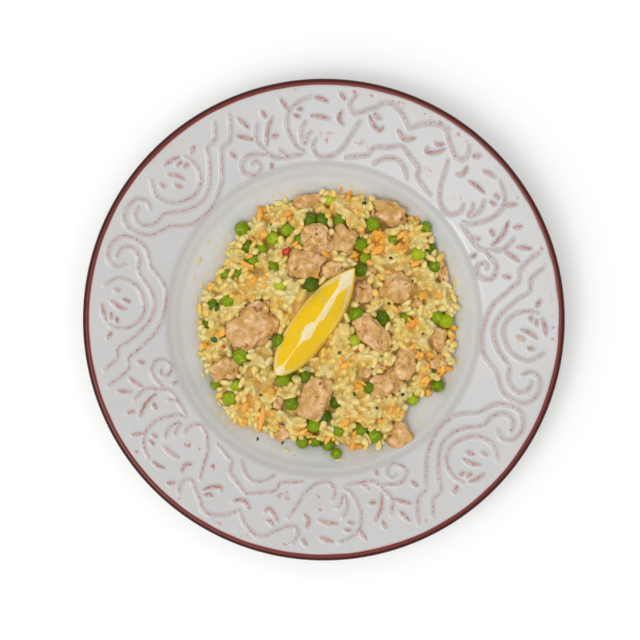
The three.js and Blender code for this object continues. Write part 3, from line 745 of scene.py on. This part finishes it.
class Pile:
    """A height map of the food as it builds up, so that each loose thing comes to lie on what is
    already there. goal is the height the rice shall reach, rice and tone are the height and colour
    of what is laid without chunks, peas and lemon, and taken marks the cells of those, which rice
    may not cover."""

    def __init__(self):
        line = np.arange(-REACH, REACH + CELL / 2, CELL)
        self.x, self.y = np.meshgrid(line, line, indexing="ij")
        r = np.hypot(self.x, self.y)
        lumps = value_noise(self.x / 6.5, self.y / 6.5, 11.0)
        lumps += 0.5 * value_noise(self.x / 3.6, self.y / 3.6, 17.0)
        self.goal = heap_top(self.x, self.y) + LUMP_HEIGHT * lumps
        inside = 1 - smoothstep(0.84, 0.99, r / heap_edge(np.arctan2(self.y, self.x)))
        plate = plate_top(r)
        self.height = plate + np.maximum(0, self.goal - RICE_DEPTH - plate) * inside
        self.rice = self.height.copy()
        self.tone = np.full(self.x.shape, 0.4)
        self.taken = np.zeros(self.x.shape, bool)

    def cells(self, x, y):
        i = np.clip(np.rint((np.asarray(x) + REACH) / CELL).astype(int), 0, len(self.x) - 1)
        j = np.clip(np.rint((np.asarray(y) + REACH) / CELL).astype(int), 0, len(self.x) - 1)
        return i, j

    def window(self, x, y, radius):
        (i0, i1), (j0, j1) = self.cells([x - radius, x + radius], [y - radius, y + radius])
        return slice(i0, i1 + 1), slice(j0, j1 + 1)

    def stamp(self, mesh, x, y, radius, margin, depth):
        """Adds a finished piece by the height of its upper side. Rice may lie over its margin, and
        over what is further than depth below the rice."""
        tree = BVHTree.FromPolygons([v.co for v in mesh.vertices], [p.vertices for p in mesh.polygons])
        rows, columns = self.window(x, y, radius)
        shown = np.zeros(self.x.shape, bool)
        for i in range(rows.start, rows.stop):
            for j in range(columns.start, columns.stop):
                start = Vector((self.x[i, j], self.y[i, j], 80))
                hit = tree.ray_cast(start, Vector((0, 0, -1)))[0]
                if hit is not None and hit.z > self.height[i, j]:
                    self.height[i, j] = hit.z
                    shown[i, j] = hit.z > self.goal[i, j] - depth
        for _ in range(round(margin / CELL)):
            shown[1:-1, 1:-1] &= shown[2:, 1:-1] & shown[:-2, 1:-1] & shown[1:-1, 2:] & shown[1:-1, :-2]
        self.taken |= shown

    def stamp_ball(self, x, y, z, radius, free):
        """Adds a pea. No rice lies over the inner share of it that free gives."""
        window = self.window(x, y, radius)
        away = np.hypot(self.x[window] - x, self.y[window] - y)
        top = z + np.sqrt(np.maximum(radius**2 - away**2, 0))
        inside = away < radius
        self.height[window] = np.where(inside, np.maximum(self.height[window], top), self.height[window])
        self.taken[window] |= inside & (away < free * radius) & (top > self.goal[window] - 0.5)

    def lay(self, x, y, turn, length, width, thick, press, cover=0.2, tone=0.2):
        """Lays a long thing down, sunk by its press: gives its matrix, or None where more than the
        share in cover would hide a pea or chunk."""
        c, s = math.cos(turn), math.sin(turn)
        along = np.linspace(-0.42, 0.42, 7)[:, None] * length
        across = np.array([-0.3, 0, 0.3])[None, :] * width
        at = self.cells(x + along * c - across * s, y + along * s + across * c)
        if self.taken[at].mean() > cover:
            return None
        ground = self.height[at].max(1)
        steps = along[:, 0]
        slope = float(np.clip((steps * (ground - ground.mean())).sum() / (steps**2).sum(), -0.8, 0.8))
        level = ground - slope * steps
        base = 0.3 * level.max() + 0.7 * level.mean()
        z = base + thick * press
        window = self.window(x, y, length / 2)
        u = (self.x[window] - x) * c + (self.y[window] - y) * s
        v = -(self.x[window] - x) * s + (self.y[window] - y) * c
        full = 1 - np.abs(2 * u / length) ** BLUNTNESS - np.abs(2 * v / width) ** BLUNTNESS
        top = z + slope * u + thick / 2 * np.maximum(full, 0) ** (1 / BLUNTNESS)
        self.tone[window] = np.where((full > 0) & (top > self.rice[window]), tone, self.tone[window])
        for surface in (self.height, self.rice):
            surface[window] = np.where(full > 0, np.maximum(surface[window], top), surface[window])
        tilt = Matrix.Rotation(-math.atan(slope), 4, "Y")
        return Matrix.Translation((x, y, z)) @ Matrix.Rotation(turn, 4, "Z") @ tilt


# Peas in the photograph: x, y, radius, tone (0 dark, 1 pale; partly painted shade where a pea lies in
# shade) and lift above the rice.
PEAS = [
    (-46.6, 51.8, 4.2, 0.5, 2.6), (-28.8, 46, 3.9, 0.75, 1.6), (-20.9, 50.8, 3.8, 0.65, 1.6),
    (-44.2, 41.8, 3.7, 0.35, 0.8), (-8, 56.2, 4, 0.3, 0.6), (-0.6, 56.4, 4, 0.25, 0.6),
    (9, 56.4, 3.7, 0.45, 0.4), (27.8, 53.8, 4.2, 0.55, 2.2), (21.2, 42.2, 4, 0.5, 1.2),
    (20.7, 27.8, 3.8, 0.3, 1.8), (39, 45, 3.4, 0.5, 0.2), (-40, 33.4, 3.7, 0.55, 0.2),
    (-48.2, 26.8, 3.6, 0.4, 1), (-56, 26, 3.4, 0.55, 0.2), (-54.8, 10.4, 3.6, 0.6, 0.8),
    (-24.8, 19.6, 3.6, 0.95, 0.8), (-7.4, 19.8, 4.3, 0.15, 1.6), (-63.6, 8.4, 3.5, 0.3, 0.4),
    (60.4, 40.6, 3.6, 0.2, 0.6), (53.4, 37.2, 4.1, 0.9, 1), (62.6, 30.2, 3.7, 0.45, 1),
    (18.2, 3.1, 4.3, 0.45, 2), (33.3, 1.4, 3.8, 0.15, 0.8), (46.2, 0.6, 3.2, 0.6, 0.2),
    (64.6, 1.4, 3.8, 0.6, 0.8), (69.4, -0.8, 4.2, 0.8, 2), (-47.1, -20.6, 4.5, 0.6, 2.6),
    (-25.4, -12.2, 4.2, 0.4, 1.2), (-61.6, -36.6, 3.4, 0.5, 0.2), (-49.4, -37.6, 3.5, 0.75, 0.8),
    (-53.4, -44.7, 4, 0.7, 1.6), (-23, -33.6, 4, 0.6, 1.4), (-10.4, -32.4, 3.8, 0.3, 0.6),
    (-18.2, -47.6, 4, 0.4, 1.2), (-5.6, -60, 4.2, 0.6, 1.2), (0.8, -55.4, 3.6, 0.1, 0.4),
    (-12.2, -70, 3.6, 0.5, 0.4), (-5, -69, 3.7, 0.4, 0.8), (2.4, -71.4, 3.6, 0.5, 0.4),
    (17.8, -11.8, 3.5, 0.9, 0.6), (25.2, -38.4, 3.6, 0.3, 0.4), (64.8, -37.6, 3.9, 0.4, 2),
    (50.8, -45.6, 3.4, 0.85, 0.2), (8.4, -62.8, 4, 0.55, 0.8), (21, -62.6, 3.8, 0.45, 0.8),
    (28.8, -66, 4, 0.5, 1.4), (-66.4, -2.6, 3.4, 0.3, 0.2), (-28.6, 30, 3.6, 0.5, -0.4),
    (-42.3, 33, 3.6, 0.35, 0), (-35.2, 40.4, 3.3, 0.6, 0), (-14.5, 44.9, 3.6, 0.5, 0),
    (57.9, 52.4, 3.3, 0.5, 0), (23.6, 34.6, 3.4, 0.7, 0), (6.5, -47.3, 3.4, 0.15, 0),
    (0.3, -54.5, 3.4, 0.2, 0), (7, -76, 3.2, 0.5, 0.6), (3.1, 68, 3.3, 0.95, 0.4),
    (-22.9, -27.5, 3.3, 0.55, 0), (-19.5, -31.2, 3.4, 0.15, 0), (33.6, -0.6, 3.3, 0.2, 0),
]
PEA_LIFT, PEA_SUNK = 0.8, 1.0

# Grated carrot: x, y, length and turn in degrees.
CARROTS = [
    (-35.5, -56.2, 15, 80), (-47.4, -58.5, 7, 20), (-22.4, -72.1, 9, -15), (17.3, -72.1, 10, -8),
    (2, -68.2, 6, 60), (22.4, -40.3, 6, 40), (54.2, -19.9, 7, 10), (60.5, -21.6, 6, 70),
    (14.5, -76.1, 7, 10), (25.8, -75, 6, -20), (67.3, -28.4, 6, 80), (73.6, -5.1, 6, 80),
    (-43.5, 30.7, 10, -35), (-34.4, 29.5, 8, 20), (-40.6, 21, 8, 45), (-62.2, 20.4, 8, 75),
    (-36.6, 59.1, 9, 80), (13.9, 71.6, 7, 40), (17.3, 36.4, 7, 20), (23.6, 40.3, 8, -30),
    (30.4, 39.2, 9, 30), (41.2, 39.8, 7, -20), (52, 31.8, 7, 25), (19, 60.8, 7, 50), (25.3, 13.6, 9, -25),
    (52, 57.4, 6, 40), (30.4, 47.1, 7, 70), (16.2, 52.3, 6, 20), (50.3, -1.7, 6, 50), (-50, 12, 8, 60),
    (44, 48, 8, 40), (36, 26, 7, -30), (56, 14, 7, 60), (5, 12, 7, 0), (12, -26, 7, 30), (2, -20, 7, -40),
    (-30, -40, 6, 30), (-42, -48, 7, -40), (12, -58, 7, 45), (40, -52, 7, 20), (32, -58, 6, -50),
    (-66, -14, 8, 70), (-58, -8, 7, 40), (-30, -56, 7, 10), (-20, 60, 7, 30), (2, 63, 6, -20),
    (62, -46, 6, 20), (-26, 8, 7, 30), (-16, 38, 6, 80), (-2, 35, 7, -40), (58, -34, 7, 15),
    (38, 10, 6, 60), (-12, -64, 7, 35), (-36, 46, 7, -20),
]

# Red pepper bits, and dark flecks of herb and pepper: x, y and size. The largest are green leaf.
LEAF_SIZE = 3.5
PEPPERS = [(-21.3, 38.6, 4.4), (-56.5, -15.3, 2.2), (19.6, -17.6, 2.4), (35.5, -26.7, 2)]
FLECKS = [
    (-37.8, -68.2, 2), (-23.6, -70.4, 2.2), (62.2, -29, 3), (44.6, -42.6, 2.4), (8.8, -18.7, 2.4),
    (17.3, -42, 2.6), (37.8, 34.7, 2), (23, 65.9, 2.6), (36.6, 9.1, 2), (-60.5, 6.2, 4),
    (-62.2, -11.4, 4), (-35.5, -42.6, 2.6), (50, 22, 1.8), (-30, 54, 1.8), (30, -50, 1.8), (-44, 8, 1.8),
    (56, -8, 1.6),
]


def grain_templates(rng):
    """Cooked short grains: plump, blunt, a little bent, in six shapes."""
    shapes = []
    for _ in range(6):
        bm = bmesh.new()
        bmesh.ops.create_uvsphere(bm, u_segments=7, v_segments=7, radius=0.5)
        bmesh.ops.rotate(bm, matrix=Matrix.Rotation(math.pi / 2, 3, "Y"), verts=bm.verts)
        bend, taper, seed = rng.uniform(-0.25, 0.25), rng.uniform(-0.5, 0.5), rng.uniform(0, 50)
        for vert in bm.verts:
            x, y, z = vert.co
            round_end = max(0.05, 1 - 4 * x * x) ** 0.5
            fat = max(0, 1 - abs(2 * x) ** BLUNTNESS) ** (1 / BLUNTNESS) / round_end * (1 + taper * x)
            fat += 0.25 * noise.noise(vert.co * 3 + Vector((seed, 0, 0)))
            vert.co = (x, y * fat + bend * (x * x - 0.12) * 1.2, z * fat)
        shapes.append(template_of(bm))
    return shapes


def lay_rice(pile, rng, templates):
    """Drops grains where the pile is lowest, of a few places tried, until it stands at its goal
    plus the allowed rise. Grains near a carrot shred take its colour."""
    copies, tones = [], []
    carrots = KDTree(len(CARROTS))
    for index, (x, y, *_) in enumerate(CARROTS):
        carrots.insert((x, y, 0), index)
    carrots.balance()
    misses = 0
    while misses < MOST_MISSES:
        angle = rng.uniform(0, 2 * math.pi, PLACES_TRIED)
        r = (heap_edge(angle) - 1) * np.sqrt(rng.uniform(0, 1, PLACES_TRIED))
        x, y = r * np.cos(angle), r * np.sin(angle)
        at = pile.cells(x, y)
        lack = pile.goal[at] + ALLOWED_RISE - pile.height[at] - 99 * pile.taken[at]
        best = int(np.argmax(lack))
        if lack[best] < 0:
            misses += 1
            continue
        whole = rng.uniform() > BROKEN_SHARE
        length = GRAIN_LENGTH * (rng.uniform(0.75, 1.12) if whole else rng.uniform(0.45, 0.7))
        width = GRAIN_WIDTH * rng.uniform(0.85, 1.2)
        thick = width * rng.uniform(0.7, 0.88)
        patch = noise.noise(Vector((x[best] / 13, y[best] / 13, 7)))
        dyed = 0.4 * float(1 - smoothstep(2.5, 6.5, carrots.find((x[best], y[best], 0))[2]))
        tone = float(np.clip(0.55 + 0.36 * patch - dyed + rng.normal(0, 0.09), 0, 1))
        matrix = pile.lay(x[best], y[best], rng.uniform(0, 2 * math.pi), length, width, thick, press=0.15,
                          tone=tone)
        if matrix is None:
            misses += 0.5
            continue
        tip = Matrix.Rotation(rng.normal(0, 0.2), 4, "Y")
        tip = tip @ Matrix.Rotation(rng.uniform(0, 2 * math.pi), 4, "X")
        size = Matrix.Diagonal((length, width, thick, 1))
        copies.append((templates[rng.integers(len(templates))], matrix @ tip @ size))
        tones.append(tone)
    return copies, tones


def blurred(values, radius):
    """Smooths a height map over about the radius, in millimetres."""
    reach = math.ceil(2 * radius / CELL)
    kernel = np.exp(-0.5 * (np.arange(-reach, reach + 1) * CELL / radius) ** 2)
    kernel /= kernel.sum()
    for axis in (0, 1):
        values = np.apply_along_axis(np.convolve, axis, values, kernel, mode="same")
    return values


def build_core(pile, material):
    """The mass that binds the grains: a closed body on the plate whose upper side follows the
    finished rice a little below the grains, so that they stand out of it. Its grid is a square
    bent to a disc, ring by ring."""
    surface = np.where(pile.taken, np.minimum(pile.rice, pile.goal - 1.5), pile.rice)
    surface = blurred(surface, 0.6) - STARCH_GAP
    shade = blurred(pile.tone, 0.5)
    bm = bmesh.new()
    bmesh.ops.create_grid(bm, x_segments=270, y_segments=270, size=1)
    tones = []
    for vert in bm.verts:
        a, b = vert.co.x, vert.co.y
        share = max(abs(a), abs(b))
        if share < 1e-6:
            angle = 0
        elif abs(a) > abs(b):
            angle = math.pi / 4 * b / a + (math.pi if a < 0 else 0)
        else:
            angle = math.pi / 2 - math.pi / 4 * a / b + (math.pi if b < 0 else 0)
        ragged = noise.noise(Vector((14 * math.cos(angle), 14 * math.sin(angle), 0)))
        edge = float(heap_edge(angle)) - 1.4 + 1.2 * ragged
        x, y = share * edge * math.cos(angle), share * edge * math.sin(angle)
        i, j = (x + REACH) / CELL, (y + REACH) / CELL
        i0, j0 = int(i), int(j)
        u, v = i - i0, j - j0
        z, tone = ((1 - u) * (1 - v) * grid[i0, j0] + u * (1 - v) * grid[i0 + 1, j0]
                   + (1 - u) * v * grid[i0, j0 + 1] + u * v * grid[i0 + 1, j0 + 1]
                   for grid in (surface, shade))
        bed = float(plate_top(math.hypot(x, y)))
        close = float(smoothstep(0.965, 1, share))
        vert.co = (x, y, max(bed + 0.15, z * (1 - close) + min(z, bed + 0.4) * close))
        tones.append(tone)
    layer = bm.verts.layers.float.new("tone")
    for vert, tone in zip(bm.verts, tones):
        vert[layer] = tone
    rim = [e for e in bm.edges if e.is_boundary]
    for shrink in (0.998, 0.9, 0.9, 0.8, 0.6):
        grown = bmesh.ops.extrude_edge_only(bm, edges=rim)["geom"]
        rim = [e for e in grown if isinstance(e, bmesh.types.BMEdge)]
        for vert in [v for v in grown if isinstance(v, bmesh.types.BMVert)]:
            x, y = vert.co.x * shrink, vert.co.y * shrink
            vert.co = (x, y, float(plate_top(math.hypot(x, y))) + 0.05)
    bmesh.ops.contextual_create(bm, geom=rim)
    hand_over("rice_core", to_mesh("rice_core", bm), material, "cooked_rice", "rice_heap")


def build_peas(pile, rng, material):
    shapes = []
    for number in range(5):
        bm = bmesh.new()
        bmesh.ops.create_icosphere(bm, subdivisions=4, radius=1)
        for vert in bm.verts:
            p = vert.co.copy()
            dimple = math.exp(-((p - Vector((0.5, 0.3, 0.81)).normalized()).length / 0.35) ** 2)
            wrinkle = 0.035 * noise.noise(p * 2.2 + Vector((number * 5, 0, 0))) + 0.008 * noise.noise(p * 7)
            vert.co = p * (1 + wrinkle - 0.07 * dimple * (number % 2))
        shapes.append(template_of(bm))
    copies, tones = [], []
    for number, (x, y, radius, tone, lift) in enumerate(PEAS):
        r = math.hypot(x, y)
        on_plate = float(plate_top(r + radius / 2)) + radius + 0.3
        z = max(float(heap_top(x, y)) + lift + PEA_LIFT - PEA_SUNK, on_plate)
        wide, high = radius * rng.uniform(0.96, 1.04), radius * rng.uniform(0.92, 1)
        squash = Matrix.Diagonal((wide, radius, high, 1))
        turn = Matrix.Rotation(rng.uniform(0, 6.28), 4, "Z") @ Matrix.Rotation(rng.uniform(0, 1.5), 4, "X")
        copies.append((shapes[number % 5], Matrix.Translation((x, y, z)) @ turn @ squash))
        tones.append(tone)
        pile.stamp_ball(x, y, z, radius, 0.95 if lift > 1 else 0.6)
    hand_over("peas", joined("peas", copies, tone=tones), material, "cooked_rice")


def ragged_bits(rng, count, subdivisions, roughness, pitch, most_bend=0):
    """Small ragged things of unit size: grated flakes and strips, chips of pepper and herb."""
    shapes = []
    for _ in range(count):
        bm = bmesh.new()
        bmesh.ops.create_icosphere(bm, subdivisions=subdivisions, radius=0.5)
        bend = rng.uniform(-most_bend, most_bend) if most_bend else 0
        seed = rng.uniform(0, 50)
        for vert in bm.verts:
            grown = 1 + roughness * noise.noise(vert.co * pitch + Vector((seed, 0, 0)))
            x, y, z = vert.co * grown
            vert.co = (x, y + bend * (x * x - 0.08), z)
        shapes.append(template_of(bm))
    return shapes


def lay_carrots(pile, rng, templates, spots):
    copies = []
    for x, y, length, turn, plump in spots:
        if math.hypot(x, y) > float(heap_edge(math.atan2(y, x))) + 2:
            continue
        width, thick = plump * rng.uniform(2.4, 4.2), plump * rng.uniform(0.8, 1.3)
        matrix = pile.lay(x, y, math.radians(turn), length, width, thick, press=0.25, cover=0.5)
        if matrix is not None:
            copies.append((templates[rng.integers(5)], matrix @ Matrix.Diagonal((length, width, thick, 1))))
    return copies


def build_chips(name, pile, rng, spots, flatness, material):
    shapes = ragged_bits(rng, 4, 2, 0.9, 4)
    copies = []
    for x, y, size in spots:
        width, thick = size * rng.uniform(0.5, 0.9), size * flatness
        matrix = pile.lay(x, y, rng.uniform(0, 6.28), size, width, thick, press=0.5, cover=1)
        copies.append((shapes[rng.integers(4)], matrix @ Matrix.Diagonal((size, width, thick, 1))))
    tones = np.maximum(rng.uniform(0, 1, len(copies)), [size > LEAF_SIZE for _, _, size in spots])
    hand_over(name, joined(name, copies, tone=tones), material, "cooked_rice")


# Drops and smears of oil on the glaze round the rice: x, y, length, width and turn in degrees.
OIL = [
    (-71.5, 34, 5, 2, 80), (-74, 24, 3, 1.2, 70), (-70, 20, 4, 1.6, 85), (-73, 12, 3, 1.5, 80),
    (-70, -24, 3, 1.4, 100), (-69, -32, 4, 1.3, 110), (-60, -48, 3.5, 1.2, 130), (-53, -55, 3, 1.6, 140),
    (-22, -75, 3.5, 1.8, 10), (-17, -78, 2, 1, 0), (9, -80, 4.5, 1.5, 5), (75, 22, 6, 2.2, 85),
    (77, 12, 3, 1.4, 80), (77, -6, 2.5, 1.4, 90), (77, -23, 1.8, 1.2, 70), (72, -40, 2, 1.2, 60),
    (64, -52, 1.6, 1.2, 45), (55, -58, 2.4, 1.3, 30), (52, 65, 3, 1, -50), (60, 58, 3, 1.2, -45),
    (-66, 44, 2.5, 1.2, 60), (40, 70, 2.5, 1.3, -30),
]
RIM_SPOT = (109, -12, 2.2, 1.2, 70)  # one dried drop on the rim
OIL_SPREAD = 1.3


def build_oil(material):
    bm = bmesh.new()
    bmesh.ops.create_uvsphere(bm, u_segments=16, v_segments=8, radius=0.5)
    shape = template_of(bm)
    copies = []
    for x, y, length, width, turn in [*OIL, RIM_SPOT]:
        r = math.hypot(x, y)
        rise = float(plate_top(r + 0.5) - plate_top(r - 0.5))
        away = Vector((x / r, y / r, 0))
        tilt = Matrix.Rotation(math.atan(rise), 4, away.cross(Vector((0, 0, -1))))
        place = Matrix.Translation((x, y, float(plate_top(r)) + 0.05))
        size = Matrix.Diagonal((OIL_SPREAD * length, OIL_SPREAD * width, 0.5, 1))
        copies.append((shape, place @ tilt @ Matrix.Rotation(math.radians(turn), 4, "Z") @ size))
    hand_over("oil_drops", joined("oil_drops", copies), material, "cooked_rice")


# ---- floor, light and camera --------------------------------------------------------------------


def build_stage():
    material, _, _ = new_material("matt_white_floor", Roughness=0.9, Base_Color=linear("#fbfbfa"))
    bm = bmesh.new()
    bmesh.ops.create_grid(bm, x_segments=2, y_segments=2, size=4)
    mesh = bpy.data.meshes.new("floor")
    bm.to_mesh(mesh)
    bm.free()
    mesh.materials.append(material)
    floor = bpy.data.objects.new("floor", mesh)
    bpy.context.scene.collection.objects.link(floor)


def add_light(name, azimuth, elevation, distance, size, power):
    """A square soft light, aimed at the middle of the plate from a compass direction and height."""
    lamp = bpy.data.lights.new(name, "AREA")
    lamp.size = size
    lamp.energy = power
    made = bpy.data.objects.new(name, lamp)
    a, e = math.radians(azimuth), math.radians(elevation)
    way = Vector((math.cos(a) * math.cos(e), math.sin(a) * math.cos(e), math.sin(e)))
    made.location = way * distance
    made.rotation_mode = "QUATERNION"
    made.rotation_quaternion = way.to_track_quat("Z", "Y")
    bpy.context.scene.collection.objects.link(made)


def build_light():
    world = bpy.data.worlds.new("studio")
    world.use_nodes = True
    background = world.node_tree.nodes["Background"].inputs
    background["Color"].default_value, background["Strength"].default_value = (1, 1, 1, 1), 0.62
    bpy.context.scene.world = world
    add_light("window", 210, 71, 1.2, 0.22, 1.0)
    add_light("softbox", 220, 70, 1.5, 0.9, 6.4)
    add_light("ceiling", 0, 90, 1.8, 1.6, 7.6)
    bpy.context.scene.view_settings.view_transform = "Standard"


def build_camera():
    """Looks straight down from 0.9 m above the rim. The photograph is 640 pixels across."""
    above, across, pixel = 0.9, 640, 0.559 * MM
    centre_x, centre_y = 323.9, 319.6  # the plate's middle in the photograph, in pixels
    camera = bpy.data.cameras.new("camera")
    camera.sensor_width = 36
    camera.lens = camera.sensor_width * above / (across * pixel)
    camera.clip_start, camera.clip_end = 0.05, 20
    made = bpy.data.objects.new("camera", camera)
    made.location = ((across / 2 - centre_x) * pixel, (centre_y - across / 2) * pixel,
                     LIP_INNER_Z * MM + above)
    bpy.context.scene.collection.objects.link(made)
    bpy.context.scene.camera = made


# ---- the whole ----------------------------------------------------------------------------------


def build():
    rng = np.random.default_rng(7)
    noise.seed_set(7)  # noise_vector is seeded from the clock otherwise
    build_camera()
    build_light()
    build_stage()
    build_plate(glazed_stoneware())

    pile = Pile()
    meat = stewed_chicken()
    for number, chunk in enumerate(CHUNKS):
        name = f"chicken_meat_{number + 1:02d}"
        mesh = build_chunk(name, number, chunk)
        pile.stamp(mesh, chunk[0], chunk[1], 0.75 * max(chunk[2]), 1, 1)
        hand_over(name, mesh, meat, "cooked_chicken", f"chicken_{number + 1:02d}")
    scraps = bmesh.new()
    for number, chunk in enumerate(SCRAPS):
        mesh = build_chunk("scrap", number + 20, chunk)
        pile.stamp(mesh, chunk[0], chunk[1], 0.75 * max(chunk[2]), 1, 1)
        scraps.from_mesh(mesh)
        bpy.data.meshes.remove(mesh)
    hand_over("chicken_scraps", to_mesh("chicken_scraps", scraps), meat, "cooked_chicken")
    lemon = build_lemon()
    pile.stamp(lemon, *LEMON_PLACE[:2], LEMON_LENGTH / 2, 0, 9)
    hand_over("lemon", lemon, lemon_flesh_and_peel(), "lemon", "lemon_wedge")
    build_peas(pile, rng, cooked_pea())

    flakes = ragged_bits(rng, 5, 3, 0.5, 3, 0.5)
    shreds = [(x, y, 0.85 * length, turn, 1) for x, y, length, turn in CARROTS]
    crumbs = [(x + rng.normal(0, 5), y + rng.normal(0, 5), rng.uniform(2, 4.5), rng.uniform(0, 360), 0.65)
              for x, y, *_ in CARROTS for _ in range(3)]
    carrots = lay_carrots(pile, rng, flakes, shreds[1::2] + crumbs[1::2])
    copies, tones = lay_rice(pile, rng, grain_templates(rng))
    rice = cooked_rice()
    hand_over("rice_grains", joined("rice_grains", copies, tone=tones), rice, "cooked_rice")
    build_core(pile, rice)
    carrots += lay_carrots(pile, rng, flakes, shreds[::2] + crumbs[::2])
    mesh = joined("carrot_shreds", carrots, tone=rng.uniform(0, 1, len(carrots)))
    hand_over("carrot_shreds", mesh, grated_carrot(), "cooked_rice")
    build_chips("pepper_bits", pile, rng, PEPPERS, 0.6, red_pepper())
    build_chips("herb_flecks", pile, rng, FLECKS, 0.35, dried_herb())
    build_oil(saffron_oil())


build()
